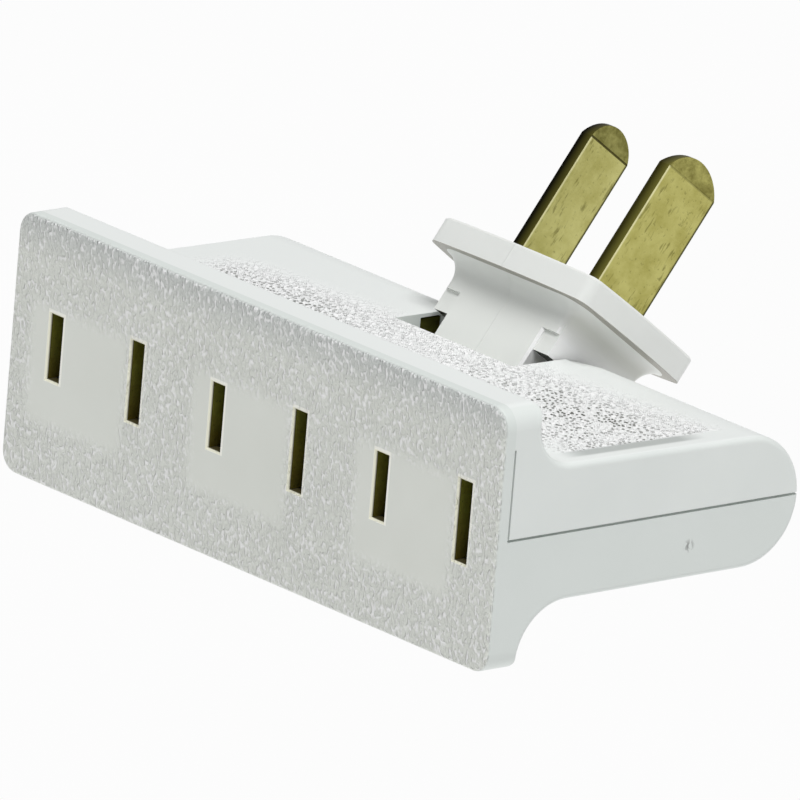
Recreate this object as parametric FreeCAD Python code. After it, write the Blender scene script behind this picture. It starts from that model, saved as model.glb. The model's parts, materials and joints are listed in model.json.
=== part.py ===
import FreeCAD, Part
import math
import os
from FreeCAD import Vector

# A two-pole wall tap with three outlets in a row and a plug head that swivels in its back.
# Everything is drawn in the housing's own place: X along the outlet row, Y from the
# outlet face backwards, Z up along the slots, with the face at Y = 0 and its foot at Z = 0.
# The plug head is drawn upright about its swivel axis and then tilted into place.
# At the end all pieces move so that the origin is on the plug face, midway between the blades.

# Outlets: a short live slot and a long neutral slot in each
outlet_pitch = 25.4
blade_spacing = 12.7
left_margin = 6.95
right_margin = 5.35
slot_height_at = 14.42
slot_width = 1.98
live_slot = 6.9
neutral_slot = 8.4
slot_chamfer = 0.18
slot_lip = 0.4

# Outlet plate
plate_width = 2 * outlet_pitch + blade_spacing + left_margin + right_margin
plate_height = 27.2
plate_corner = 2.2
face_skin = 1.4
face_edge_round = 0.5
lip_depth = 4.9
foot_depth = 4.0
foot_edge_round = 0.5
lip_edge = 0.4

# Flat body behind the plate, with a full round at its back
parting_height = 13.55
back_radius = 6.8
swivel_depth = 32.4
top_draft = 0.9
bottom_draft = 0.3
top_cove = 4.2
bottom_cove = 6.0
end_edge_round = 0.6
wall = 1.8

# Joint lines between the two mouldings
shadow_gap = 0.3
shadow_depth = 0.5
seam_gap = 0.22
seam_rise = 9.5

# Ribs, pads and weld posts inside the mouldings
rib_thickness = 1.0
rib_gap = 0.7
post_radius = 2.2
weld_pin_radius = 1.05
weld_pin_length = 3.4
weld_clearance = 0.08
outer_post_gap = 0.9
inner_post_gap = 3.8
outer_post_ahead = 4.0
inner_post_behind = 1.0
pad_height = 0.5
pad_size = 3.4
stake_radius = 0.7
stake_clearance = 0.1
stake_head_radius = 1.25
stake_head = 0.45

# Contact strips, spring clips and their rivets
strip_thickness = 0.5
strip_gap = 0.35
strip_width = 3.6
strip_overhang = 2.6
clip_thickness = 0.45
clip_gap = 0.15
clip_clearance = 0.05
clip_throat_at = 2.8
clip_taper_from = 5.0
clip_taper_to = 8.5
clip_nip_at = 8.0
clip_nip = 1.1
clip_back = 2.3
live_clip_height = 5.2
neutral_clip_height = 5.7
clip_tab_width = 3.2
live_clip_drop = 1.75
neutral_clip_drop = 2.65
rivet_radius = 0.8
rivet_clearance = 0.05
rivet_head_radius = 1.45
rivet_head = 0.35
strip_corner = 0.7

# Plug head
plug_tilt = 53.2
drum_radius = 6.4
drum_half_width = 6.6
drum_edge = 0.25
neck_half_width = 8.8
neck_start = 7.1
neck_corner = 0.7
shoulder_half_depth = 6.0
shoulder_start = 4.7
boss_radius = 4.0
flange_bottom = 10.45
flange_thickness = 2.85
flange_side_overhang = 3.7
flange_front_overhang = 3.05
flange_bow = 0.65
flange_corner = 1.45
flange_cove = 2.5
flange_edge = 0.25
pocket_side_gap = 0.3
pocket_front_gap = 0.35
relief_reach = 3.4
relief_depth = 0.45

# Windows under the roof in the pocket's side walls, above the bearing seats
window_ahead = 3.4
window_behind = 0.5
window_reach = 3.5
window_rim = 0.35
window_drop = 0.8

# Swivel bearing: plastic journals in split seats, with a brass contact pin inside each
journal_radius = 3.6
bearing_clearance = 0.06
pin_radius = 1.6
moulding_gap = 0.05
inner_head_radius = 2.3
inner_head = 0.5
outer_head_radius = 3.0
outer_head = 1.45
outer_head_gap = 0.1
wiper_gap = 0.1
wiper_bulge = 0.5
wiper_reach = 3.0
wiper_bulge_width = 3.2
wiper_leaf_height = 5.4
wiper_side_gap = 0.15
wiper_tip_round = 1.2
wiper_tab_gap = 0.2
button_edge = 0.45

# Blades
blade_thickness = 1.52
live_blade_width = 6.35
neutral_blade_width = 7.95
blade_length = 17.0
tip_rise = 2.4
tip_thickness = 0.75
tail_width = 5.0
tail_start = 9.0

# Places that follow from the sizes above
half_width = plate_width / 2
row_offset = (left_margin - right_margin) / 2
beyond = 2 * plate_width
plug_face = flange_bottom + flange_thickness
pocket_half_width = neck_half_width + pocket_side_gap
pocket_front = swivel_depth - drum_radius - pocket_front_gap
wall_outside = pocket_half_width + wall
inner_radius = back_radius - wall
ceiling = parting_height + inner_radius
floor_height = parting_height - inner_radius
live_strip_top = ceiling - pad_height
neutral_strip_top = floor_height + pad_height + strip_thickness
strip_back = pocket_front - wall - strip_gap
strip_front = strip_back - strip_width
strip_middle = strip_front + strip_width / 2
clip_back_at = strip_front - clip_gap - clip_thickness
rib_end = clip_back_at - rib_gap
live_clip_bottom = parting_height - live_clip_drop
neutral_clip_bottom = parting_height - neutral_clip_drop
pin_end = wall_outside + outer_head_gap + outer_head
wiper_at = pin_end + wiper_gap + wiper_bulge
wiper_rivet_at = wiper_at + clip_thickness + wiper_side_gap + rivet_head_radius
inner_post_at = wiper_at + clip_thickness + inner_post_gap + post_radius
outer_post_at = half_width - wall - outer_post_gap - post_radius
flange_length = 2 * (neck_half_width + flange_side_overhang)
flange_width = 2 * (drum_radius + flange_front_overhang)
live_slots = [row_offset - blade_spacing / 2 + outlet_pitch * i for i in (-1, 0, 1)]
neutral_slots = [row_offset + blade_spacing / 2 + outlet_pitch * i for i in (-1, 0, 1)]
position_names = ("left", "centre", "right")


def box(x0, x1, y0, y1, z0, z1):
    """A block between two corners."""
    return Part.makeBox(x1 - x0, y1 - y0, z1 - z0, Vector(x0, y0, z0))


def rod(radius, x0, x1, y=0.0, z=0.0):
    """A round bar along X."""
    return Part.makeCylinder(radius, x1 - x0, Vector(x0, y, z), Vector(1, 0, 0))


def post(radius, x, y, z0, z1):
    """A round bar along Z."""
    return Part.makeCylinder(radius, z1 - z0, Vector(x, y, z0), Vector(0, 0, 1))


def line(a, b):
    return Part.LineSegment(a, b).toShape()


def arc(a, middle, b):
    return Part.Arc(a, middle, b).toShape()


def prism(edges, along):
    """A closed outline pushed along a vector."""
    return Part.Face(Part.Wire(edges)).extrude(along)


def polygon(points, along):
    corners = points + [points[0]]
    return Part.Face(Part.makePolygon(corners)).extrude(along)


def fuse(pieces):
    whole = pieces[0].multiFuse(pieces[1:]) if len(pieces) > 1 else pieces[0]
    return whole.removeSplitter()


def edges_where(shape, test):
    """Edges whose two ends and middle all pass the test."""
    found = []
    for edge in shape.Edges:
        middle = edge.valueAt((edge.FirstParameter + edge.LastParameter) / 2)
        points = [vertex.Point for vertex in edge.Vertexes] + [middle]
        if all(test(point) for point in points):
            found.append(edge)
    return found


def near(a, b):
    return abs(a - b) < 1e-3


def arc_point(centre_y, centre_z, radius, degrees, x=0.0):
    angle = math.radians(degrees)
    return Vector(x, centre_y + radius * math.cos(angle), centre_z + radius * math.sin(angle))


def body_top(y):
    """The height of the body's drafted top."""
    lean = math.radians(top_draft)
    touch = swivel_depth + back_radius * math.sin(lean)
    return parting_height + back_radius * math.cos(lean) + (touch - y) * math.tan(lean)


def body_bottom(y):
    """The height of the body's drafted underside."""
    lean = math.radians(bottom_draft)
    touch = swivel_depth + back_radius * math.sin(lean)
    return parting_height - back_radius * math.cos(lean) - (touch - y) * math.tan(lean)


def side_profile(x):
    """The housing seen from its end: plate, flat body with draft, and the round back."""
    upper = 90 - top_draft
    lower = -90 + bottom_draft
    top_touch = arc_point(swivel_depth, parting_height, back_radius, upper, x)
    back = arc_point(swivel_depth, parting_height, back_radius, 0, x)
    bottom_touch = arc_point(swivel_depth, parting_height, back_radius, lower, x)
    top_corner = Vector(x, lip_depth, body_top(lip_depth))
    bottom_corner = Vector(x, foot_depth, body_bottom(foot_depth))
    corners = [
        bottom_corner,
        Vector(x, foot_depth, 0),
        Vector(x, 0, 0),
        Vector(x, 0, plate_height),
        Vector(x, lip_depth, plate_height),
        top_corner,
        top_touch,
    ]
    edges = [line(a, b) for a, b in zip([bottom_touch] + corners, corners)]
    edges.append(arc(top_touch, back, bottom_touch))
    return edges


def plate_outline():
    """The rounded front outline, long enough to trim the whole housing."""
    block = box(-half_width, half_width, -wall, beyond, 0, plate_height)
    corners = edges_where(block, lambda p: near(abs(p.x), half_width) and p.z in (0, plate_height))
    corners = [edge for edge in corners if not near(edge.Vertexes[0].Y, edge.Vertexes[1].Y)]
    return block.makeFillet(plate_corner, corners)


def housing_outside():
    """The outer form of both mouldings together."""
    shape = prism(side_profile(-half_width), Vector(plate_width, 0, 0))
    lip_rise = plate_height - body_top(lip_depth)
    lip_root = edges_where(
        shape, lambda p: near(p.y, lip_depth) and near(p.z, body_top(lip_depth)))
    shape = shape.makeFillet(min(top_cove, lip_rise - 2 * lip_edge), lip_root)
    foot_drop = body_bottom(foot_depth)
    foot_root = edges_where(shape, lambda p: near(p.y, foot_depth) and near(p.z, foot_drop))
    shape = shape.makeFillet(min(bottom_cove, foot_drop - 1.2 * foot_edge_round), foot_root)
    lip_top = edges_where(shape, lambda p: near(p.y, lip_depth) and near(p.z, plate_height))
    shape = shape.makeFillet(lip_edge, lip_top)
    foot_low = edges_where(shape, lambda p: near(p.y, foot_depth) and near(p.z, 0))
    shape = shape.makeFillet(foot_edge_round, foot_low)
    ends = edges_where(shape, lambda p: near(abs(p.x), half_width))
    ends = [edge for edge in ends if edge.BoundBox.YMax > foot_edge_round]
    shape = shape.makeFillet(end_edge_round, ends)
    shape = shape.common(plate_outline())
    return shape.makeFillet(face_edge_round, edges_where(shape, lambda p: near(p.y, 0)))


def cavity():
    """The hollow inside both mouldings, with parallel walls behind the round back."""
    end = half_width - wall
    top_touch = arc_point(swivel_depth, parting_height, inner_radius, 90 - top_draft, -end)
    back = arc_point(swivel_depth, parting_height, inner_radius, 0, -end)
    low_touch = arc_point(swivel_depth, parting_height, inner_radius, bottom_draft - 90, -end)
    rise = (top_touch.y - face_skin) * math.tan(math.radians(top_draft))
    drop = (low_touch.y - face_skin) * math.tan(math.radians(bottom_draft))
    front_top = Vector(-end, face_skin, top_touch.z + rise)
    front_low = Vector(-end, face_skin, low_touch.z - drop)
    edges = [
        line(low_touch, front_low),
        line(front_low, front_top),
        line(front_top, top_touch),
        arc(top_touch, back, low_touch),
    ]
    return prism(edges, Vector(2 * end, 0, 0))


def post_places():
    places = []
    for side in (-1, 1):
        places.append((side * outer_post_at, swivel_depth - outer_post_ahead))
        places.append((side * inner_post_at, swivel_depth + inner_post_behind))
    return places


def live_stakes():
    return [live_slots[0] + blade_spacing / 2, live_slots[2] - blade_spacing / 2]


def neutral_stakes():
    return [neutral_slots[0] + blade_spacing / 2, neutral_slots[2] - blade_spacing / 2]


def inside_features():
    """Everything that stands in the hollow: partitions, pocket walls, posts and pads."""
    top = plate_height
    features = []
    for i in (-2, -1, 0, 1, 2):
        x = row_offset + i * outlet_pitch / 2
        features.append(box(x - rib_thickness / 2, x + rib_thickness / 2, 0, rib_end, 0, top))
    features.append(box(-wall_outside, wall_outside, pocket_front - wall, beyond, 0, top))
    for x, y in post_places():
        features.append(post(post_radius, x, y, 0, top))
    side = pad_size / 2
    for x in live_stakes():
        features.append(box(x - side, x + side, strip_front, strip_back, live_strip_top, top))
    for x in neutral_stakes():
        under = neutral_strip_top - strip_thickness
        features.append(box(x - side, x + side, strip_front, strip_back, 0, under))
    return features


def slots():
    """Place and height of each slot."""
    found = [(x, live_slot) for x in live_slots]
    return found + [(x, neutral_slot) for x in neutral_slots]


def rectangle(x, y, half, z0, z1):
    corners = [(x - half, z0), (x + half, z0), (x + half, z1), (x - half, z1), (x - half, z0)]
    return Part.makePolygon([Vector(px, y, pz) for px, pz in corners])


def slot_openings():
    """The slots through the face, with chamfered mouths and room behind for the clips."""
    cutters = []
    for x, height in slots():
        z0 = slot_height_at - height / 2
        z1 = slot_height_at + height / 2
        half = slot_width / 2
        cutters.append(box(x - half, x + half, -wall, face_skin + wall, z0, z1))
        room = half + clip_thickness + clip_clearance
        cutters.append(box(x - room, x + room, slot_lip, face_skin + wall, z0, z1))
        c = slot_chamfer
        mouth = rectangle(x, -c, half + 2 * c, z0 - 2 * c, z1 + 2 * c)
        throat = rectangle(x, c, half, z0, z1)
        cutters.append(Part.makeLoft([mouth, throat], True, True))
    return cutters


def pocket():
    """The open pocket for the plug head, with seats and windows in its side walls."""
    hollow = box(-pocket_half_width, pocket_half_width, pocket_front, beyond, 0, plate_height)
    radius = journal_radius + bearing_clearance
    seat_end = wall_outside + wall
    window_end = pocket_half_width + window_reach
    front = swivel_depth - window_ahead
    back = swivel_depth - window_behind
    windows = box(
        -window_end, window_end, front, back, ceiling - window_drop, body_top(back) - window_rim)
    return [hollow, windows, rod(radius, -seat_end, seat_end, swivel_depth, parting_height)]


def back_relief():
    """A shallow crowned ease of the round back on both sides of the pocket."""
    cutters = []
    level = parting_height + back_radius
    for side in (-1, 1):
        near_x = side * (pocket_half_width - wall)
        middle_x = side * (pocket_half_width + relief_reach * 0.45)
        far_x = side * (pocket_half_width + relief_reach)
        a = Vector(near_x, swivel_depth, level - relief_depth)
        b = Vector(middle_x, swivel_depth, level - relief_depth * 0.3)
        c = Vector(far_x, swivel_depth, level + relief_depth * 0.05)
        d = Vector(far_x, swivel_depth, level + wall)
        e = Vector(near_x, swivel_depth, level + wall)
        face = Part.Face(Part.Wire([arc(a, b, c), line(c, d), line(d, e), line(e, a)]))
        centre = Vector(0, swivel_depth, parting_height)
        face.rotate(centre, Vector(1, 0, 0), -top_draft)
        sweep = 180 - top_draft - bottom_draft
        cutters.append(face.revolve(centre, Vector(1, 0, 0), -sweep))
    return cutters


def joint_groove():
    """The fine shadow line where the two mouldings meet on the ends and the back."""
    end = half_width - shadow_depth
    rim = swivel_depth + back_radius - shadow_depth
    top = parting_height + shadow_gap
    seam_top = parting_height + seam_rise
    core = box(-end, end, 0, rim, 0, plate_height)
    flat = box(-beyond, beyond, face_skin, beyond, parting_height, top)
    upright = box(-beyond, beyond, face_skin, face_skin + seam_gap, parting_height, seam_top)
    return [flat.cut(core), upright.cut(core)]


def housings():
    """The front moulding with the plate and lower half, and the upper half behind it."""
    hollow = cavity().cut(fuse(inside_features()))
    whole = housing_outside().cut(hollow)
    whole = whole.cut(fuse(pocket()))
    for cutter in slot_openings() + back_relief():
        whole = whole.cut(cutter)
    behind = box(-beyond, beyond, face_skin, beyond, parting_height, beyond)
    upper = whole.common(behind)
    front = whole.cut(behind)
    for cutter in joint_groove():
        upper = upper.cut(cutter)
    root = parting_height + weld_pin_radius
    low = parting_height - weld_pin_length
    hole = weld_pin_radius + weld_clearance
    for x, y in post_places():
        upper = upper.fuse(post(weld_pin_radius, x, y, low, root))
        front = front.cut(post(hole, x, y, low - weld_pin_radius, root))
    under = live_strip_top - strip_thickness
    for x in live_stakes():
        stake = post(stake_radius, x, strip_middle, under, live_strip_top + pad_height)
        head = post(stake_head_radius, x, strip_middle, under - stake_head, under)
        upper = upper.fuse(stake.fuse(head))
    over = neutral_strip_top
    for x in neutral_stakes():
        stake = post(stake_radius, x, strip_middle, over - strip_thickness - pad_height, over)
        head = post(stake_head_radius, x, strip_middle, over, over + stake_head)
        front = front.fuse(stake.fuse(head))
    return front.removeSplitter(), upper.removeSplitter()


def strip(x0, x1, top, stakes, rivets):
    """A flat contact strip with rounded ends, holes for its stakes and rivets."""
    low = top - strip_thickness
    bar = box(x0, x1, strip_front, strip_back, low, top)
    corners = [edge for edge in bar.Edges if near(edge.Length, strip_thickness)]
    bar = bar.makeFillet(strip_corner, corners)
    for x in stakes:
        bar = bar.cut(post(stake_radius + stake_clearance, x, strip_middle, low, top))
    for x in rivets:
        bar = bar.cut(post(rivet_radius + rivet_clearance, x, strip_middle, low, top))
    return bar


def clip(x, slot, bottom, height, tab_bottom, upward):
    """A spring clip: two leaves from the slot's sides to one web, with a riveted tab."""
    t = clip_thickness
    m = slot_width / 2
    n = clip_nip / 2
    b = clip_back / 2
    front = slot_lip + clip_clearance
    inside = [
        (m, front),
        (m, clip_throat_at),
        (n, clip_nip_at),
        (b, clip_back_at),
    ]
    outside = [(px + t, py) for px, py in inside[:3]] + [(b + t, clip_back_at + t)]
    outline = [(-px, py) for px, py in outside] + outside[::-1]
    outline += inside + [(-px, py) for px, py in inside[::-1]]
    z0 = slot_height_at - slot / 2 + clip_clearance
    z1 = slot_height_at + slot / 2 - clip_clearance
    top = bottom + height
    leaves = polygon([Vector(x + px, py, z0) for px, py in outline], Vector(0, 0, z1 - z0))
    side = [
        (0, z0),
        (clip_taper_from, z0),
        (clip_taper_to, bottom),
        (strip_back, bottom),
        (strip_back, top),
        (clip_taper_to, top),
        (clip_taper_from, z1),
        (0, z1),
    ]
    reach = m + 2 * t
    shadow = polygon([Vector(x - reach, py, pz) for py, pz in side], Vector(2 * reach, 0, 0))
    leaves = leaves.common(shadow)
    tab_top = tab_bottom + t
    low, high = (top - t, tab_top) if upward else (tab_bottom, bottom + t)
    web = box(x - b, x + b, clip_back_at, clip_back_at + t, low, high)
    w = clip_tab_width / 2
    step = box(x - b, x + b, clip_back_at, strip_front + t, tab_bottom, tab_top)
    tab = box(x - w, x + w, strip_front, strip_back, tab_bottom, tab_top)
    ends = [edge for edge in tab.Edges if near(edge.Length, t)]
    ends = [edge for edge in ends if near(edge.Vertexes[0].Y, strip_back)]
    tab = tab.makeFillet(strip_corner, ends)
    shape = fuse([leaves, web, step, tab])
    hole = rivet_radius + rivet_clearance
    return shape.cut(post(hole, x, strip_middle, tab_bottom, tab_top))


def rivet(x, low, high):
    """A round rivet whose heads close on the two outer faces."""
    return fuse([
        post(rivet_radius, x, strip_middle, low, high),
        post(rivet_head_radius, x, strip_middle, low - rivet_head, low),
        post(rivet_head_radius, x, strip_middle, high, high + rivet_head),
    ])


def wiper(side, tab_bottom):
    """A spring strip that follows the contact pin, with a tab that locks in the window."""
    t = clip_thickness
    x0 = wiper_at
    low = parting_height - wiper_leaf_height / 2
    high = parting_height + wiper_leaf_height / 2
    far = swivel_depth + wiper_reach
    leaf = box(x0, x0 + t, strip_front, far, low, high)
    tips = [edge for edge in leaf.Edges if near(edge.Length, t)]
    leaf = leaf.makeFillet(wiper_tip_round, [e for e in tips if near(e.Vertexes[0].Y, far)])
    show_front = swivel_depth - window_ahead + wiper_tab_gap
    show_back = swivel_depth - window_behind - wiper_tab_gap
    show_low = ceiling - window_drop + wiper_tab_gap
    show_high = body_top(show_back) - window_rim - wiper_tab_gap
    show_at = pocket_half_width + wiper_tab_gap
    ear = box(x0, x0 + t, show_front, show_back, parting_height, show_low + t)
    bridge = box(show_at, x0, show_front, show_back, show_low, show_low + t)
    show = box(show_at, show_at + t, show_front, show_back, show_low, show_high)
    neck_low = min(low, tab_bottom)
    neck_high = max(high, tab_bottom + t)
    neck = box(x0, x0 + t, strip_front, strip_back, neck_low, neck_high)
    tab_end = wiper_rivet_at + rivet_head_radius + wiper_side_gap
    tab = box(x0, tab_end, strip_front, strip_back, tab_bottom, tab_bottom + t)
    half = wiper_bulge_width / 2
    radius = (half ** 2 + wiper_bulge ** 2) / (2 * wiper_bulge)
    centre = Vector(x0 - wiper_bulge + radius, swivel_depth, parting_height)
    dome = Part.makeSphere(radius, centre)
    dome = dome.common(box(x0 - radius, x0 + t / 2, 0, beyond, 0, beyond))
    shape = fuse([leaf, ear, bridge, show, neck, tab, dome])
    dimple = Part.makeSphere(radius - t, centre)
    shape = shape.cut(dimple.common(box(x0 - radius, x0 + t, 0, beyond, 0, beyond)))
    hole = rivet_radius + rivet_clearance
    shape = shape.cut(post(hole, wiper_rivet_at, strip_middle, tab_bottom, tab_bottom + t))
    if side > 0:
        return shape
    return shape.mirror(Vector(0, 0, 0), Vector(1, 0, 0))


def flange():
    """The plug's flange: four gently bowed sides and round corners."""
    a = flange_length / 2
    b = flange_width / 2
    ca = a - flange_bow
    cb = b - flange_bow
    z = flange_bottom
    corner = [Vector(-ca, -cb, z), Vector(ca, -cb, z), Vector(ca, cb, z), Vector(-ca, cb, z)]
    edges = [
        arc(corner[0], Vector(0, -b, z), corner[1]),
        arc(corner[1], Vector(a, 0, z), corner[2]),
        arc(corner[2], Vector(0, b, z), corner[3]),
        arc(corner[3], Vector(-a, 0, z), corner[0]),
    ]
    slab = prism(edges, Vector(0, 0, flange_thickness))
    upright = [edge for edge in slab.Edges if near(edge.Length, flange_thickness)]
    return slab.makeFillet(flange_corner, upright)


def blade(side, width):
    """A flat blade with an arched, bevelled tip and a narrower tail for its contact pin."""
    half = width / 2
    x = side * blade_spacing / 2 - blade_thickness / 2
    tip = plug_face + blade_length
    shoulder = tip - tip_rise
    edges = [
        line(Vector(x, -half, tail_start), Vector(x, -half, shoulder)),
        arc(Vector(x, -half, shoulder), Vector(x, 0, tip), Vector(x, half, shoulder)),
        line(Vector(x, half, shoulder), Vector(x, half, tail_start)),
        line(Vector(x, half, tail_start), Vector(x, -half, tail_start)),
    ]
    plate = prism(edges, Vector(blade_thickness, 0, 0))
    t = tail_width / 2
    tail = box(x, x + blade_thickness, -t, t, 0, tail_start + blade_thickness)
    tail = tail.fuse(rod(t, x, x + blade_thickness))
    shape = plate.fuse(tail).removeSplitter()
    lean = (blade_thickness - tip_thickness) / 2
    for outer, inward in ((x, 1), (x + blade_thickness, -1)):
        wedge = [
            Vector(outer, -width, shoulder),
            Vector(outer + inward * lean, -width, tip),
            Vector(outer + 2 * inward * lean, -width, tip + tip_rise),
            Vector(outer - inward * lean, -width, tip + tip_rise),
            Vector(outer - inward * lean, -width, shoulder),
        ]
        shape = shape.cut(polygon(wedge, Vector(0, 2 * width, 0)))
    return shape.cut(rod(pin_radius + moulding_gap, x, x + blade_thickness))


def contact_pin(side):
    """A brass pin from the blade's tail to a button outside the bearing."""
    face = blade_spacing / 2 - blade_thickness / 2
    journal_end = wall_outside + outer_head_gap
    head = rod(outer_head_radius, journal_end, pin_end)
    rim = [edge for edge in head.Edges if near(edge.BoundBox.XMin, pin_end)]
    head = head.makeChamfer(button_edge, rim)
    pin = fuse([
        rod(pin_radius, face - inner_head, journal_end + button_edge),
        rod(inner_head_radius, face - inner_head, face),
        head,
    ])
    if side > 0:
        return pin
    return pin.mirror(Vector(0, 0, 0), Vector(1, 0, 0))


def plug_body(blades):
    """The plug moulding: drum, shoulders, neck and flange, with journals at both ends."""
    d = drum_radius
    w = drum_half_width
    n = neck_half_width
    neck_height = plug_face - neck_start
    drum = fuse([rod(d, -w, w), box(-w, w, -d, d, 0, plug_face)])
    drum = drum.makeChamfer(drum_edge, edges_where(drum, lambda p: near(abs(p.x), w)))
    neck = box(-n, n, -d, d, neck_start, plug_face)
    upright = [edge for edge in neck.Edges if near(edge.Length, neck_height)]
    neck = neck.makeFillet(neck_corner, upright)
    top = fuse([neck, flange()])
    root = edges_where(
        top, lambda p: near(p.z, flange_bottom) and abs(p.x) < n + 0.01 and abs(p.y) < d + 0.01)
    room = min(flange_side_overhang, flange_front_overhang, flange_bottom - neck_start)
    top = top.makeFillet(min(flange_cove, room - flange_edge), root)
    top = top.makeChamfer(flange_edge, edges_where(top, lambda p: near(p.z, plug_face)))
    v = shoulder_half_depth
    shoulders = box(-n, n, -v, v, shoulder_start, plug_face)
    shape = fuse([
        drum,
        top,
        shoulders,
        rod(boss_radius, -n, n),
        rod(journal_radius, -wall_outside - outer_head_gap, wall_outside + outer_head_gap),
    ])
    face = blade_spacing / 2 - blade_thickness / 2
    end = pin_end
    for side in (-1, 1):
        room = fuse([
            rod(inner_head_radius + moulding_gap, face - inner_head, face),
            rod(pin_radius + moulding_gap, face, end),
        ])
        if side < 0:
            room = room.mirror(Vector(0, 0, 0), Vector(1, 0, 0))
        shape = shape.cut(room)
    for piece in blades:
        shape = shape.cut(piece)
    return shape


def main():
    os.makedirs("parts", exist_ok=True)
    live = blade(-1, live_blade_width)
    neutral = blade(1, neutral_blade_width)
    swivelling = {
        "plug_head": plug_body([live, neutral]),
        "blade_hot": live,
        "blade_neutral": neutral,
        "contact_pin_hot": contact_pin(-1),
        "contact_pin_neutral": contact_pin(1),
    }
    pieces = {}
    for name, shape in swivelling.items():
        shape.rotate(Vector(0, 0, 0), Vector(1, 0, 0), plug_tilt - 90)
        shape.translate(Vector(0, swivel_depth, parting_height))
        pieces[name] = shape

    pieces["front_housing"], pieces["upper_housing"] = housings()
    live_tab = live_strip_top - strip_thickness - clip_thickness
    neutral_tab = neutral_strip_top
    for name, x in zip(position_names, live_slots):
        pieces["hot_clip_" + name] = clip(
            x, live_slot, live_clip_bottom, live_clip_height, live_tab, True)
    for name, x in zip(position_names, neutral_slots):
        pieces["neutral_clip_" + name] = clip(
            x, neutral_slot, neutral_clip_bottom, neutral_clip_height, neutral_tab, False)
    pieces["bus_hot"] = strip(
        live_slots[0] - strip_overhang, live_slots[2] + strip_overhang, live_strip_top,
        live_stakes(), live_slots + [-wiper_rivet_at])
    pieces["bus_neutral"] = strip(
        neutral_slots[0] - strip_overhang, neutral_slots[2] + strip_overhang, neutral_strip_top,
        neutral_stakes(), neutral_slots + [wiper_rivet_at])
    pieces["wiper_hot"] = wiper(-1, live_tab)
    pieces["wiper_neutral"] = wiper(1, neutral_tab)
    neutral_low = neutral_strip_top - strip_thickness
    neutral_high = neutral_tab + clip_thickness
    pieces["hot_rivets"] = Part.makeCompound(
        [rivet(x, live_tab, live_strip_top) for x in live_slots])
    pieces["neutral_rivets"] = Part.makeCompound(
        [rivet(x, neutral_low, neutral_high) for x in neutral_slots])
    pieces["wiper_rivets"] = Part.makeCompound([
        rivet(-wiper_rivet_at, live_tab, live_strip_top),
        rivet(wiper_rivet_at, neutral_low, neutral_high),
    ])

    tilt = math.radians(plug_tilt)
    origin = Vector(
        0,
        swivel_depth + plug_face * math.cos(tilt),
        parting_height + plug_face * math.sin(tilt))
    for name, shape in pieces.items():
        shape.translate(-origin)
        shape.exportStep("parts/" + name + ".step")
        box_ = shape.BoundBox
        print(name, len(shape.Solids), shape.isValid(), round(shape.Volume, 2))
        print("   ", [round(v, 3) for v in (box_.XMin, box_.XMax, box_.YMin, box_.YMax)],
              [round(v, 3) for v in (box_.ZMin, box_.ZMax)])
    print("origin moved to", [round(v, 4) for v in origin])


main()
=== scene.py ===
# %% [markdown]
# # A wall tap with a swivel plug head
# The part is a white wall tap: a plate with three outlets, a flat hollow body behind
# it, and a plug head that swivels in a pocket of the body's round back. All moulded and
# stamped pieces come from the CAD frame with their true shapes. This lesson gives each
# of them the surface that its maker gave it, then sets the camera and the studio light.
# Lengths are in metres, so millimetres are written as a number times MM.

# %% Load the frame
import math

import bpy
from mathutils import Matrix, Vector
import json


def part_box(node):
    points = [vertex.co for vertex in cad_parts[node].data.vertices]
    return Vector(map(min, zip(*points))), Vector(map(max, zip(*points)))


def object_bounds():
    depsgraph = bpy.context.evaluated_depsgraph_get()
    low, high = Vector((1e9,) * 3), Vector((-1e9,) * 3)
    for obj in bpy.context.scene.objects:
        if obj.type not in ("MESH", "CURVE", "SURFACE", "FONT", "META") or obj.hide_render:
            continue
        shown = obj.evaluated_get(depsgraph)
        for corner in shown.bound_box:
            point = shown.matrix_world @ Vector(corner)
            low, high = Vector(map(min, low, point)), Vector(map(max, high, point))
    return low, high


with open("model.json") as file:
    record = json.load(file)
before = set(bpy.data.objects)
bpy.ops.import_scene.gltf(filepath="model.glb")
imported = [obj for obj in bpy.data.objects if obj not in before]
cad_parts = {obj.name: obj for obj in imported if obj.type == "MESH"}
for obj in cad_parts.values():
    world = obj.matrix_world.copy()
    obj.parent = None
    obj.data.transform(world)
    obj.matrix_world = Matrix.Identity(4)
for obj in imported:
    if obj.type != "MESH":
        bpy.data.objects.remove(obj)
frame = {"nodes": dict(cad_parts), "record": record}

nodes = frame["nodes"]
cad_low, cad_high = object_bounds()
MM = 0.001
print("nodes:", len(nodes), "size in mm:", [round(v / MM, 1) for v in cad_high - cad_low])

# %% [markdown]
# ## Helpers for every finish
# Colours are picked as sRGB hex values, as a paint program shows them, but shaders
# count in linear light, so one function turns the first into the second. A material is
# a chain of nodes. It could be drawn in the node editor, but a script shows every value,
# so a second function adds one node with its options and links. With these two, every
# material below reads from its pattern down to its gloss.

# %% Colour and node helpers
def linear(code):
    """An sRGB hex code as linear red, green, blue and alpha."""
    parts = [int(code[i:i + 2], 16) / 255 for i in (1, 3, 5)]
    light = [v / 12.92 if v <= 0.04045 else ((v + 0.055) / 1.055) ** 2.4 for v in parts]
    return (*light, 1.0)


def add(material, kind, inputs=None, **options):
    """Add a node. Its inputs, by name or number, take a value, a socket or a node."""
    tree = material.node_tree
    node = tree.nodes.new("ShaderNode" + kind)
    for name, value in options.items():
        setattr(node, name, value)
    for name, value in (inputs or {}).items():
        if isinstance(value, bpy.types.Node):
            value = next(socket for socket in value.outputs if socket.enabled)
        if isinstance(value, bpy.types.NodeSocket):
            tree.links.new(value, node.inputs[name])
        else:
            node.inputs[name].default_value = value
    return node


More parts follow.
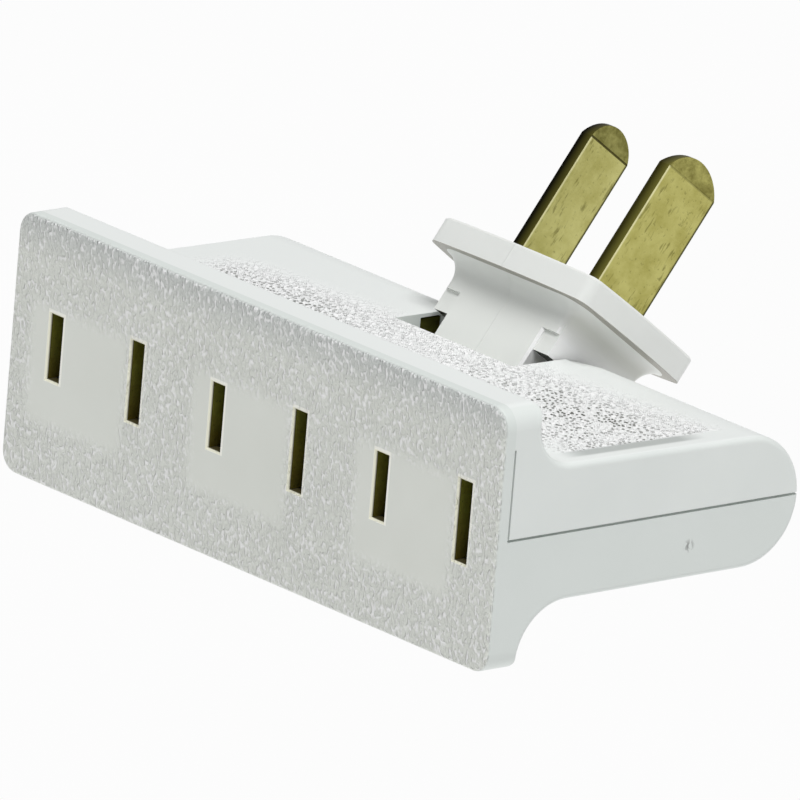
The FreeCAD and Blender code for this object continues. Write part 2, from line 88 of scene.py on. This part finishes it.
def new_material(name):
    """A material with an empty node tree."""
    material = bpy.data.materials.new(name)
    material.use_nodes = True
    material.node_tree.nodes.clear()
    return material


print("mid grey in linear light:", round(linear("#808080")[0], 3))

# %% [markdown]
# ## Colour in coats
# A moulded or stamped surface is seldom one flat colour. It could be painted on an
# image, but an image has to be unwrapped and blurs close up. Here a finish starts from
# one colour and gets thin coats, each of them only where its masks let it through. A
# mask is a number from 0 to 1 that the shader works out from the place, the direction
# or a noise. Noise crowds round 0.5, so a ramp that starts at 0.6 takes a few specks,
# and one that starts at 0.4 takes most of the surface.

# %% Coats and masks
def paint(material, colour, *coats):
    """Lay coats over a colour. A coat is its colour, then the masks that it shows in.

    A colour is a hex code or a node. A mask is a node, or a ramp of four: the value it
    follows, where it starts, where it is full, and how strong it is there.
    """
    for coat, *masks in coats:
        share = 1.0
        for mask in masks:
            if isinstance(mask, tuple):
                value, start, full, strength = mask
                mask = add(
                    material, "MapRange",
                    {"Value": value, "From Min": start, "From Max": full,
                     "To Max": strength})
            share = add(material, "Math", {0: share, 1: mask}, operation="MULTIPLY")
        under, over = (linear(c) if isinstance(c, str) else c for c in (colour, coat))
        colour = add(material, "Mix", {0: share, 6: under, 7: over}, data_type="RGBA")
    return colour


print("a coat under two half masks covers", 0.5 * 0.5, "of what lies below it")

# %% [markdown]
# ## What all the white mouldings share
# The housing and the plug head are ABS, an opaque plastic with a soft gloss and an index
# of refraction of about 1.54. Its white is never quite even, because pigment and age
# leave faint clouds several millimetres wide. One material could serve all three
# mouldings, but their moulds were finished differently, so only the start, the clouds
# and the skin are shared. Each moulding reads its patterns from the object's own place
# and direction, so they stay with it when the plug swivels.

# %% ABS from place to skin
abs_ior = 1.54
cloud_size = 9 * MM


def surface(material):
    """The surface's place and direction, then both as X, Y and Z."""
    source = add(material, "TexCoord")
    place, normal = source.outputs["Object"], source.outputs["Normal"]
    at = add(material, "SeparateXYZ", {0: place}).outputs
    facing = add(material, "SeparateXYZ", {0: normal}).outputs
    return place, normal, at, facing


def clouded(material, place, size, dark, light):
    """A colour that drifts between two near shades, in clouds of the given size."""
    cloud = add(material, "TexNoise", {"Vector": place, "Scale": 1 / size, "Detail": 3.0})
    return paint(material, dark, (light, cloud))


def moulded_skin(material, colour, height, relief, rough):
    """End a material as ABS. The relief is how many metres a height of 1 stands for."""
    bump = add(material, "Bump", {"Height": height, "Distance": relief})
    skin = add(
        material, "BsdfPrincipled",
        {"Base Color": colour, "Roughness": rough, "IOR": abs_ior, "Normal": bump})
    add(material, "OutputMaterial", {"Surface": skin})


print("clouds across the plate:", round((cad_high - cad_low).x / cloud_size))

# %% [markdown]
# ## Where things lie on the outlet face
# The mould of the outlet face was etched, apart from one smooth window round each
# outlet, where the etch was masked. The slots' mouths have a small chamfer that catches
# the light, drawn as a thin rim of painted highlight. Windows and mouths repeat at the
# outlets' pitch of 25.4 mm, so each can be described once and wrapped along X. Their
# places are worked out from the spring clips, which stand right behind the slots.

# %% Places on the face
def middle(node):
    """The middle of a node's box."""
    low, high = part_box(node)
    return (low + high) / 2


hot_clip = middle("hot_clip_centre")
neutral_clip = middle("neutral_clip_centre")
outlet_pitch = middle("hot_clip_right").x - hot_clip.x
face_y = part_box("front_housing")[0].y
face_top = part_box("front_housing")[1].z
print("outlet pitch in mm:", round(outlet_pitch / MM, 2))

# %% Windows and slot mouths
window_left = hot_clip.x - 3.6 * MM
window_right = neutral_clip.x - 1.5 * MM
window_x = (window_left + window_right) / 2
window_half_width = (window_right - window_left) / 2
window_z = hot_clip.z - 2.0 * MM
window_half_height = 6.0 * MM
window_fade = 1.2 * MM

mouth_half_width = 1.18 * MM
mouth_half_heights = {hot_clip.x: 3.63 * MM, neutral_clip.x: 4.38 * MM}
# The painted highlight round each slot's mouth is this wide.
rim_highlight_width = 0.28 * MM
rim_highlight_fade = 0.05 * MM


def outlet_mask(material, place, centre, half, soft):
    """1 in a box of X and Z that repeats at each outlet, with soft sides, and 0 outside."""
    at = add(material, "SeparateXYZ", {0: place}).outputs
    across = add(material, "Math", {0: at["X"], 1: centre[0]}, operation="SUBTRACT")
    across = add(
        material, "Math", {0: across, 1: outlet_pitch / 2, 2: -outlet_pitch / 2},
        operation="WRAP")
    up = add(material, "Math", {0: at["Z"], 1: centre[1]}, operation="SUBTRACT")
    sides = []
    for offset, reach in ((across, half[0]), (up, half[1])):
        size = add(material, "Math", {0: offset}, operation="ABSOLUTE")
        sides.append(add(
            material, "MapRange",
            {"Value": size, "From Min": reach + soft, "From Max": reach - soft},
            interpolation_type="SMOOTHSTEP"))
    return add(material, "Math", {0: sides[0], 1: sides[1]}, operation="MULTIPLY")


print("window in mm:", [round(2 * v / MM, 1) for v in (window_half_width, window_half_height)])

# %% [markdown]
# ## White ABS with an etched pebble grain
# The two housing mouldings were injection moulded and are a little grey with age. The
# etch left the outlet face covered in pebbles a third of a millimetre across, drawn out
# upwards and leaning to the left. They could be modelled, which takes millions of
# faces, so two layers of noise make a height for a bump instead: one for the pebbles
# and one for the bite of the etch. A real etch bites finer than this render shows, so
# it is drawn 0.2 mm coarse. To the eye the grain is a sparkle of light on its crests
# over a duller ground, so the crests also get a painted highlight, and the windows stay
# calm.

# %% Pebble grain
pebble_size = 0.33 * MM
pebble_stretch = 1.6
pebble_height = 0.24 * MM
grain_lean = math.radians(-15)
etch_size = 0.2 * MM
etch_share = 0.1
smooth_share = 0.02


def pebble_noise(material, place):
    """Noise of pebbles that are taller than wide and lean to the left."""
    upright = add(
        material, "Mapping",
        {"Vector": place, "Rotation": (0, grain_lean, 0), "Scale": (1, 1, pebble_stretch)},
        vector_type="TEXTURE")
    return add(
        material, "TexNoise",
        {"Vector": upright, "Scale": 1 / pebble_size, "Detail": 0.6, "Roughness": 0.5,
         "Distortion": 0.3})


def grain_height(material, place, pebble, grained):
    """Pebbles with a fine etch: full height in the grain, nearly flat outside it."""
    raised = add(material, "MapRange", {"Value": pebble, "From Min": 0.3, "From Max": 0.75})
    etch = add(
        material, "TexNoise", {"Vector": place, "Scale": 1 / etch_size, "Detail": 1.0})
    height = add(
        material, "Math", {0: etch, 1: etch_share, 2: raised}, operation="MULTIPLY_ADD")
    share = add(
        material, "MapRange", {"Value": grained, "To Min": smooth_share, "To Max": 1.0})
    return add(material, "Math", {0: height, 1: share}, operation="MULTIPLY")


print("pebbles across the plate:", round((cad_high - cad_low).x / pebble_size))

# %% [markdown]
# ## Colours of the face and its slots
# The face is a warmer white than the body and turns a little greyer over its top four
# millimetres. The slots could be left to the light alone, but it bounces between their
# white walls and makes them too pale. So the walls get a painted highlight for 0.3 mm
# behind the face and painted shade, dark brown, from there on, which stands for the
# shadow in the slot and the brass reflected in it. That coat stays within 3 mm of the
# face and clear of the plate's edges. The last coat is a small grey scuff that handling
# left on the right end.

# %% Face colours
top_shade = 4 * MM


def housing_white(material, place, at, pebble, on_face, grained):
    """A cool white body, a warmer face with a painted highlight on its crests, and a painted
    highlight on the slots' rims.
    """
    face_white = paint(
        material, clouded(material, place, cloud_size, "#DFE2DA", "#EAEDE6"),
        ("#B4B9BC", (at["Z"], face_top - top_shade, face_top, 0.55)),
        ("#FFFFFF", (pebble, 0.53, 0.68, 0.8), grained))
    body_white = clouded(material, place, cloud_size, "#D9DFDB", "#E1E6E3")
    colour = paint(material, body_white, (face_white, on_face))
    for mouth_x, half_height in mouth_half_heights.items():
        rim = outlet_mask(
            material, place, (mouth_x + rim_highlight_width / 2, hot_clip.z + rim_highlight_width / 2),
            (mouth_half_width + rim_highlight_width / 2, half_height + rim_highlight_width / 2), rim_highlight_fade)
        colour = paint(material, colour, ("#FFFFF6", rim, on_face))
    return colour


print("top shade in mm:", round(top_shade / MM, 1), "slot rim in mm:", round(rim_highlight_width / MM, 2))

# %% Slot walls and scuff
slot_reach = 6.0 * MM
wall_start = 0.02 * MM
# The slots' walls keep a painted highlight this deep, then take painted shade.
wall_highlight_depth = 0.3 * MM
wall_highlight_fade = 0.06 * MM
face_skin = 3.0 * MM
edge_margin = 2 * MM
scuff_at = (cad_high.x, face_y + 25.2 * MM, face_top - 17.1 * MM)
scuff_reach = 0.8 * MM
scuff_core = 0.1 * MM


def slot_wall_light_and_shade(material, colour, at):
    """Coat the slots' walls: a painted highlight at the mouth, painted dark brown shade behind
    it.
    """
    depth = add(material, "Math", {0: at["Y"], 1: face_y}, operation="SUBTRACT")
    off_centre = add(material, "Math", {0: at["X"]}, operation="ABSOLUTE")
    inside = [
        add(material, "Math", {0: value, 1: limit}, operation=test)
        for value, test, limit in (
            (depth, "GREATER_THAN", wall_start), (depth, "LESS_THAN", face_skin),
            (off_centre, "LESS_THAN", cad_high.x - edge_margin))]
    level = add(
        material, "Math", {0: at["Z"], 1: hot_clip.z, 2: slot_reach}, operation="COMPARE")
    wall = paint(
        material, "#FBFAE6",
        ("#5A5338", (depth, wall_highlight_depth - wall_highlight_fade, wall_highlight_depth + wall_highlight_fade, 1.0)))
    return paint(material, colour, (wall, *inside, level))


def scuffed(material, colour, place, pebble):
    """Coat a small patchy scuff on the right end."""
    away = add(material, "VectorMath", {0: place, 1: scuff_at}, operation="DISTANCE")
    return paint(
        material, colour,
        ("#8C8E8B", (away, scuff_reach, scuff_core, 1.0), (pebble, 0.48, 0.56, 1.0)))


print("slots stay pale for mm:", round(wall_highlight_depth / MM, 2))

# %% Housing plastic
etched_rough = 0.42


def housing_plastic():
    """Etched white ABS: the grain lies on the outlet face, outside its windows."""
    material = new_material("white_abs_etched")
    place, _, at, facing = surface(material)
    pebble = pebble_noise(material, place)
    on_face = add(
        material, "MapRange", {"Value": facing["Y"], "From Min": -0.3, "From Max": -0.8},
        interpolation_type="SMOOTHSTEP")
    window = outlet_mask(
        material, place, (window_x, window_z), (window_half_width, window_half_height),
        window_fade)
    grained = add(
        material, "Math", {0: on_face, 1: window}, operation="SUBTRACT", use_clamp=True)
    colour = housing_white(material, place, at, pebble, on_face, grained)
    colour = slot_wall_light_and_shade(material, colour, at)
    colour = scuffed(material, colour, place, pebble)
    height = grain_height(material, place, pebble, grained)
    moulded_skin(material, colour, height, pebble_height, etched_rough)
    return material


face_plastic = housing_plastic()
nodes["front_housing"].material_slots[0].material = face_plastic
print("material:", face_plastic.name, "nodes:", len(face_plastic.node_tree.nodes))

# %% [markdown]
# ## The roof's coarse stipple
# The upper moulding has a coarser stipple on its flat roof: small pits between lumps,
# which fade towards the lip, the left end and the back, where the limit runs a little
# askew. On the right the stipple stops at a straight line, where the mould's insert
# ended and left a faint step, drawn as a grey stripe of painted shade. Pits could come
# from noise too, but cells of a Voronoi pattern have one centre each, as a pit has. To
# the eye they are dark specks, because a pit catches less light, so the pits are
# painted dark as painted shade, and most of them lie away from the pocket. Faces that
# look up are painted a little lighter as painted light, and the lumps get a painted
# highlight.

# %% Places on the roof
roof_low, roof_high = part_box("upper_housing")
stipple_left = roof_low.x + 2.6 * MM
stipple_right = roof_high.x - 3.3 * MM
stipple_skew = 0.09
# The step shows as a stripe of painted shade this wide.
step_width = 1.6 * MM
step_fade = 0.2 * step_width
insert_sharpness = 0.15 * MM
# Each limit is where a pattern ends, and where it is at full strength.
upward_limit = (0.88, 0.97)
front_limit = (face_y + 9.0 * MM, face_y + 13.0 * MM)
back_limit = (face_y + 30.0 * MM, face_y + 25.0 * MM)
left_limit = (stipple_left, stipple_left + 7.0 * MM)
right_limit = (stipple_right + insert_sharpness, stipple_right - insert_sharpness)
step_limit = (face_y + 28.0 * MM, face_y + 25.0 * MM)


def stippled_area(material, x, y, back, up):
    """Masks of the roof: all that faces up, its stippled rows, and the stipple itself."""
    shares = [1.0]
    for value, (outside, inside) in (
            (up, upward_limit), (y, front_limit), (back, back_limit), (x, left_limit),
            (x, right_limit)):
        step = add(
            material, "MapRange", {"Value": value, "From Min": outside, "From Max": inside},
            interpolation_type="SMOOTHSTEP")
        shares.append(
            add(material, "Math", {0: step, 1: shares[-1]}, operation="MULTIPLY"))
    return shares[1], shares[3], shares[5]


def step_shade_stripe(material, x):
    """A soft stripe of painted shade just right of the stipple, where the insert ended in a
    small step.
    """
    off_stripe = add(
        material, "Math", {0: x, 1: stipple_right + step_width / 2}, operation="SUBTRACT")
    off_stripe = add(material, "Math", {0: off_stripe}, operation="ABSOLUTE")
    return add(
        material, "MapRange",
        {"Value": off_stripe, "From Min": step_width / 2 + step_fade,
         "From Max": step_width / 2 - step_fade},
        interpolation_type="SMOOTHSTEP")


print("stippled width in mm:", round((stipple_right - stipple_left) / MM, 1))

# %% Pits and lumps
pit_size = 0.38 * MM
pit_depth = 0.14 * MM
lump_size = 0.45 * MM
grain_slant = math.radians(-40)
grain_stretch = 2.0


def pits_and_lumps(material, place):
    """Pits at the centres of Voronoi cells, and lumps of noise, drawn out aslant."""
    slanted = add(
        material, "Mapping",
        {"Vector": place, "Rotation": (0, 0, grain_slant), "Scale": (grain_stretch, 1, 1)},
        vector_type="TEXTURE")
    cell = add(
        material, "TexVoronoi", {"Vector": slanted, "Scale": 1 / pit_size, "Randomness": 1.0})
    pit = add(
        material, "MapRange",
        {"Value": cell.outputs["Distance"], "From Min": 0.46, "From Max": 0.24},
        interpolation_type="SMOOTHSTEP")
    lump = add(
        material, "TexNoise",
        {"Vector": slanted, "Scale": 1 / lump_size, "Detail": 1.0, "Distortion": 0.8})
    lump = add(material, "MapRange", {"Value": lump, "From Min": 0.4, "From Max": 0.62})
    return pit, lump


print("pits in a centimetre:", round(10 * MM / pit_size))

# %% Roof plastic
patch_size = 5 * MM
# Pits start to go dark at the first of each two, and are darkest from the second on.
dark_from_centre = (2.0 * MM, 18.0 * MM)
dark_from_back = (face_y + 27.0 * MM, face_y + 21.0 * MM)


def roof_plastic():
    """Stippled white ABS: painted light on up-faces, painted highlights on lumps, painted shade
    at the step and in pits.
    """
    material = new_material("white_abs_stippled")
    place, _, at, facing = surface(material)
    x, y = at["X"], at["Y"]
    back = add(material, "Math", {0: x, 1: -stipple_skew, 2: y}, operation="MULTIPLY_ADD")
    roof, rows, stippled = stippled_area(material, x, y, back, facing["Z"])
    pit, lump = pits_and_lumps(material, place)
    lump_highlight = add(material, "Math", {0: lump, 1: 0.5, 2: 0.5}, operation="MULTIPLY_ADD")
    off_centre = add(material, "Math", {0: x}, operation="ABSOLUTE")
    patch = add(
        material, "TexNoise", {"Vector": place, "Scale": 1 / patch_size, "Detail": 2.0})
    # Painted light on faces that look up, painted highlights on the lumps, a stripe of painted
    # shade at the step, and painted shade in the pits.
    colour = paint(
        material, clouded(material, place, cloud_size, "#DFE4E1", "#E8ECE9"),
        ("#EBEEEC", roof),
        ("#FFFFFF", lump_highlight, stippled),
        ("#BABEBC", step_shade_stripe(material, x), rows, (y, *step_limit, 1.0)),
        ("#595A51", pit, stippled, (patch, 0.25, 0.6, 1.0),
         (off_centre, *dark_from_centre, 1.0), (back, *dark_from_back, 1.0)))
    height = add(material, "Math", {0: pit, 1: -0.8, 2: lump}, operation="MULTIPLY_ADD")
    height = add(material, "Math", {0: height, 1: stippled}, operation="MULTIPLY")
    moulded_skin(material, colour, height, pit_depth, etched_rough)
    return material


roof_finish = roof_plastic()
nodes["upper_housing"].material_slots[0].material = roof_finish
print("material:", roof_finish.name, "nodes:", len(roof_finish.node_tree.nodes))

# %% [markdown]
# ## The plug head's satin ABS
# The plug head came from a polished mould, so it is smooth and a little glossier. Its
# mould closed along the middle of the head, which leaves a hair-thin ridge at X = 0,
# and a moulding as thick as this sinks a little as it cools, which gives the faint
# waves that are called orange peel. Behind the flange the colour carries painted light
# and shade: the plastic is painted lighter there and whiter on its cheeks, with painted
# shadow close to the flange, a painted contact shadow along the flange's back edge,
# painted shade under the shoulders and a painted highlight along the neck's corners.
# The origin lies on the plug's face, so the line from the swivel's pivot to the origin
# runs along the blades, and depth is counted back from that face.

# %% Measures of the plug
pivot = Vector(frame["record"]["behaviour"]["joints"][0]["pos_m"])
along = -pivot.normalized()
flange_back = 2.85 * MM
flange_shadow_width = 0.05 * MM
neck_start = 5.5 * MM
shoulder_start = 7 * MM
ridge_foot = 0.12 * MM
ridge_crest = 0.03 * MM
ridge_height = 0.03 * MM
peel_size = 2.2 * MM
plug_cloud_size = 7 * MM
satin_rough = 0.36
print("plug leans by degrees:", round(math.degrees(math.atan2(along.z, along.y)), 1))

# %% Plug plastic
def plug_relief(material, place, x):
    """Faint orange peel and the ridge where the mould closed."""
    side = add(material, "Math", {0: x}, operation="ABSOLUTE")
    ridge = add(
        material, "MapRange",
        {"Value": side, "From Min": ridge_foot, "From Max": ridge_crest})
    peel = add(
        material, "TexNoise", {"Vector": place, "Scale": 1 / peel_size, "Detail": 1.0})
    return add(material, "Math", {0: peel, 1: 0.5, 2: ridge}, operation="MULTIPLY_ADD")


def plug_plastic():
    """Satin white ABS, with painted light, shade and highlights behind its flange."""
    material = new_material("white_abs_satin")
    place, normal, at, facing = surface(material)
    depth, backward = (
        add(material, "VectorMath", {0: vector, 1: -along}, operation="DOT_PRODUCT")
        for vector in (place, normal))
    sideways = add(material, "Math", {0: facing["X"]}, operation="ABSOLUTE")
    behind_flange, neck, shoulder = (
        add(material, "Math", {0: depth, 1: start}, operation="GREATER_THAN")
        for start in (flange_back, neck_start, shoulder_start))
    corner = add(material, "Math", {0: sideways, 1: 0.6, 2: 0.12}, operation="COMPARE")
    flange_contact_shadow = add(
        material, "Math", {0: depth, 1: flange_back, 2: flange_shadow_width},
        operation="COMPARE")
    cheek = (sideways, 0.2, 0.95, 1.0)
    under_flange_shadow = (depth, 6.5 * MM, 4.0 * MM, 1.0)
    # Painted light behind the flange and on the cheeks, painted shadow near the flange, a
    # painted highlight on the neck's corners, painted shade under the shoulders, and a painted
    # contact shadow at the flange's back edge.
    colour = paint(
        material, clouded(material, place, plug_cloud_size, "#E8EAE6", "#F0F2EF"),
        ("#F0F2EE", behind_flange),
        ("#FFFFFF", behind_flange, cheek),
        ("#C9CAC2", behind_flange, cheek, under_flange_shadow),
        ("#FFFFFF", neck, corner),
        ("#3E3C34", shoulder, (backward, 0.9, 0.98, 1.0)),
        ("#A5A298", flange_contact_shadow))
    height = plug_relief(material, place, at["X"])
    moulded_skin(material, colour, height, ridge_height, satin_rough)
    return material


plug_finish = plug_plastic()
nodes["plug_head"].material_slots[0].material = plug_finish
print("material:", plug_finish.name, "nodes:", len(plug_finish.node_tree.nodes))

# %% [markdown]
# ## Brass strip
# Blades, clips and contact strips are stamped from rolled brass strip. A metal takes its
# colour from the base colour and all the rest from its roughness, which here follows the
# patina, so that dull spots are also the rough ones. A picture of worn brass would be
# quick, but it would repeat and have no true scale. Noise of four sizes gives the
# patina, its dark specks, the scratches and the stretches where they are deep. Real
# scratches are finer than the render shows and are drawn about 0.22 mm wide.

# %% Patina and scratches
patina_size = 3.5 * MM
speck_size = 0.35 * MM
scratch_size = 0.22 * MM
scratch_stretch = 0.15
wear_size = 2.5 * MM
brass_relief = 0.02 * MM


def strip_brass(material, place, bright, dull, scratch_strength, edge_wear=0.0):
    """The strip's own look, as its colour, its patina and its height."""
    lengthwise = add(
        material, "VectorMath", {0: place, 1: (1.0, scratch_stretch, 1.0)},
        operation="MULTIPLY")
    patina = add(
        material, "TexNoise",
        {"Vector": place, "Scale": 1 / patina_size, "Detail": 5.0, "Roughness": 0.65})
    speck, worn, scratch = (
        add(material, "TexNoise", {"Vector": vector, "Scale": 1 / size, "Detail": detail})
        for vector, size, detail in (
            (place, speck_size, 2.0), (place, wear_size, 2.0),
            (lengthwise, scratch_size, 3.0)))
    worn = add(material, "Math", {0: worn, 1: edge_wear}, operation="ADD")
    scratched = add(material, "Math", {0: scratch, 1: worn}, operation="MULTIPLY")
    colour = paint(
        material, bright,
        (dull, (patina, 0.4, 0.65, 1.0)),
        ("#4A461C", (speck, 0.64, 0.7, 0.3)),
        ("#5C571F", (scratched, 0.33, 0.4, scratch_strength)))
    height = add(material, "Math", {0: scratch, 1: 0.6, 2: speck}, operation="MULTIPLY_ADD")
    return colour, patina, height


def brass_skin(material, colour, patina, height, rough):
    """End a material as bare brass, a little glossier or duller with its patina."""
    gloss = add(
        material, "MapRange", {"Value": patina, "To Min": rough - 0.08, "To Max": rough + 0.12})
    bump = add(material, "Bump", {"Height": height, "Distance": brass_relief})
    skin = add(
        material, "BsdfPrincipled",
        {"Base Color": colour, "Metallic": 1.0, "Roughness": gloss, "Normal": bump})
    add(material, "OutputMaterial", {"Surface": skin})


print("a scratch is", round(1 / scratch_stretch, 1), "times as long as it is wide")

# %% [markdown]
# ## Brass inside the housing
# Clips, wipers, contact strips, pins and rivets show only through the slots and the
# openings of the pocket. The deeper they lie, the less light reaches them, and what
# reaches the lower half of a clip is warmed by the brass above it. Light that bounces
# this often is slow to trace, so two coats darken the metal with depth and brown it
# downwards.

# %% Inner brass
brown_top = hot_clip.z + MM
brown_full = hot_clip.z - 3 * MM
dusk_start = 1.6 * MM
dusk_full = 2.3 * MM
inner_scratches = 0.1


def inner_brass(name, bright, dull, rough):
    """Stamped or turned brass that lies in the housing, hardly scratched."""
    material = new_material(name)
    place = add(material, "TexCoord").outputs["Object"]
    at = add(material, "SeparateXYZ", {0: place}).outputs
    colour, patina, height = strip_brass(material, place, bright, dull, inner_scratches)
    depth = add(material, "Math", {0: at["Y"], 1: face_y}, operation="SUBTRACT")
    colour = paint(
        material, colour,
        ("#8A5A28", (at["Z"], brown_top, brown_full, 0.4)),
        ("#33300F", (depth, dusk_start, dusk_full, 0.8)))
    brass_skin(material, colour, patina, height, rough)
    return material


spring_brass = inner_brass("spring_brass", "#D2D46A", "#B4B04E", 0.5)
rivet_brass = inner_brass("rivet_brass_turned", "#B5A45A", "#94853F", 0.35)
print("inside:", spring_brass.name, "and", rivet_brass.name)

# %% [markdown]
# ## The blades
# A blade's flat faces are rolled, and pushing it into outlets scratched it lengthwise.
# Blanking left its edges rough, and they are painted dark as painted shade, lighter
# towards one face. Each blade gets a painted highlight along one side and a painted
# shadow along the other, and its tip is ground to a slant on each face behind a fine
# ridge; the slants take a painted darker reflection, and the ridge a painted dark line
# of shade. The edges and slants could be masked by hand, but the surface's own
# direction tells them apart: X is 1 on the flat faces, a little less on the slants and
# small on the edges.
# The blades lean with the plug head, so the patterns are turned to their direction.

# %% Blade brass
across = Vector((0, -along.z, along.y))
tilt = math.atan2(along.z, along.y)
# Width of the painted highlight along one side of a blade and the painted shadow along the
# other.
edge_light_width = 0.3 * MM
tip_start = 14.6 * MM
ridge_shade_width = 0.12 * MM
edge_round = 0.3 * MM
blot_size = 1.3 * MM
blade_scratches = 0.5
blade_rough = 0.38


def blade_brass(name, blade, strip, edge, slant, ridge_shade_strength):
    """Rolled brass of a blade. Strip, edge and slant are pairs of colours; the edge pair is
    painted shade, the slant pair a painted darker reflection.
    """
    low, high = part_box(blade.name)
    half_width = max(abs(v.co.dot(across)) for v in blade.data.vertices)
    print(blade.name, "half width in mm:", round(half_width / MM, 3))
    material = new_material(name)
    source = add(material, "TexCoord")
    place = add(
        material, "Mapping", {"Vector": source.outputs["Object"], "Rotation": (tilt, 0, 0)},
        vector_type="TEXTURE")
    at = add(material, "SeparateXYZ", {0: place}).outputs
    facing = add(material, "SeparateXYZ", {0: source.outputs["Normal"]}).outputs
    off_middle = add(material, "Math", {0: at["Z"]}, operation="ABSOLUTE")
    edge_wear = add(
        material, "MapRange", {"Value": off_middle, "From Max": half_width, "To Max": 0.08})
    colour, patina, height = strip_brass(
        material, place, *strip, blade_scratches, edge_wear)

    flat = add(material, "Math", {0: facing["X"]}, operation="ABSOLUTE")
    ridge = add(
        material, "Math", {0: at["Y"], 1: tip_start, 2: ridge_shade_width}, operation="COMPARE")
    blot = add(
        material, "TexNoise",
        {"Vector": place, "Scale": 1 / blot_size, "Detail": 4.0, "Roughness": 0.7})
    slant_reflection_colour = paint(material, slant[0], (slant[1], (blot, 0.35, 0.65, 1.0)))
    edge_shade_colour = paint(
        material, edge[0], (edge[1], (at["X"], low.x + edge_round, high.x, 1.0)))
    # A painted highlight and a painted shadow along the sides, a painted reflection on the
    # slants, a painted line of shade at the ridge, and painted shade on the edges.
    colour = paint(
        material, colour,
        ("#F4F0C0", (at["Z"], half_width - edge_light_width, half_width - edge_light_width / 2, 0.7)),
        ("#565430", (at["Z"], edge_light_width - half_width, edge_light_width / 2 - half_width, 1.0)),
        (slant_reflection_colour, (flat, 0.998, 0.992, 1.0)),
        ("#3E3A14", (ridge, 0.0, 1.0, ridge_shade_strength)),
        (edge_shade_colour, (flat, 0.6, 0.3, 1.0)))
    brass_skin(material, colour, patina, height, blade_rough)
    return material


blade_finishes = {
    "blade_hot": blade_brass(
        "blade_hot_rolled", nodes["blade_hot"], ("#C6C27E", "#B4AF68"),
        ("#1E1C0C", "#7C7632"), ("#7A763C", "#A8A462"), 0.9),
    "blade_neutral": blade_brass(
        "blade_neutral_rolled", nodes["blade_neutral"], ("#C2BD74", "#AFA95E"),
        ("#4E4A1C", "#A09A48"), ("#8A8444", "#BDB86C"), 0.3)}
print("blades:", sorted(finish.name for finish in blade_finishes.values()))

# %% Put the brass on its pieces
for name, node in nodes.items():
    slot = node.material_slots[0]
    if "rivets" in name:
        slot.material = rivet_brass
    elif not slot.material.name.startswith("white_abs"):
        slot.material = blade_finishes.get(name, spring_brass)
finishes = {node.material_slots[0].material.name for node in nodes.values()}
print("finishes:", sorted(finishes))

# %% [markdown]
# ## Camera
# Product photographs are taken from far away with a long lens, so parallel edges stay
# nearly parallel. The camera looks at the part from its right front, a little above,
# and is rolled a few degrees, which lets the plate climb towards the upper left. It
# could be aimed with a constraint, but its directions are worked out here, so that
# each of its angles has a name.

# %% Camera
target = Vector((5.606, -26.095, -6.726)) * MM
distance = 2.375823
azimuth = math.radians(48.750)
elevation = math.radians(16.5555)
roll = math.radians(4.780)
towards = Vector((math.sin(azimuth), -math.cos(azimuth), math.tan(elevation))).normalized()
level = Vector((math.cos(azimuth), math.sin(azimuth), 0))
right = math.cos(roll) * level + math.sin(roll) * towards.cross(level)
turn = Matrix((right, towards.cross(right), towards)).transposed().to_4x4()

camera_data = bpy.data.cameras.new("long_lens")
camera_data.lens = 1080
camera_data.sensor_width = 36
camera_data.clip_end = 500
camera = bpy.data.objects.new("camera", camera_data)
bpy.context.scene.collection.objects.link(camera)
camera.matrix_world = Matrix.Translation(target + distance * towards) @ turn
bpy.context.scene.camera = camera
print("camera at", [round(v, 3) for v in camera.matrix_world.translation])

# %% [markdown]
# ## Studio
# A white sweep of paper lies far below the part, so no shadow shows on it, and its white
# drifts a little, as paper's does. Soft light comes from a wide lamp overhead, a little
# to the right. It leaves the roof brightest, the right end next, and the outlet face in
# a gentle shade that brings out its grain. More lamps could light every side, but they
# would wash that grain out.

# %% Sky and paper
studio = bpy.data.worlds.new("studio")
bpy.context.scene.world = studio
studio.use_nodes = True
sky = studio.node_tree.nodes["Background"].inputs
sky["Color"].default_value = linear("#FAFBFC")
sky["Strength"].default_value = 0.32
bpy.context.scene.view_settings.view_transform = "Standard"

paper_width = 300
paper_drop = 1.2
flecks_per_metre = 3.0
bpy.ops.object.select_all(action="DESELECT")
bpy.ops.mesh.primitive_plane_add(size=paper_width, location=(0, 0, -paper_drop))
floor = bpy.context.object
floor.name = "floor"
paper = new_material("white_paper_sweep")
fleck = add(
    paper, "TexNoise",
    {"Vector": add(paper, "TexCoord").outputs["Object"], "Scale": flecks_per_metre})
whiteness = add(paper, "MapRange", {"Value": fleck, "To Min": 0.965, "To Max": 0.985})
glow = add(paper, "Emission", {"Color": linear("#FFFFFF"), "Strength": whiteness})
add(paper, "OutputMaterial", {"Surface": glow})
floor.data.materials.append(paper)
print("paper lies", paper_drop, "m below the part's origin")

# %% Overhead lamp
lamp_data = bpy.data.lights.new("overhead", "AREA")
lamp_data.shape = "DISK"
lamp_data.size = 1.1
lamp_data.energy = 26
lamp = bpy.data.objects.new("overhead", lamp_data)
bpy.context.scene.collection.objects.link(lamp)
lamp.location = (0.45, -0.2, 1.7)
lamp.rotation_euler = lamp.location.to_track_quat("Z", "Y").to_euler()
print("lamp:", lamp.name, "at", [round(v, 2) for v in lamp.location])
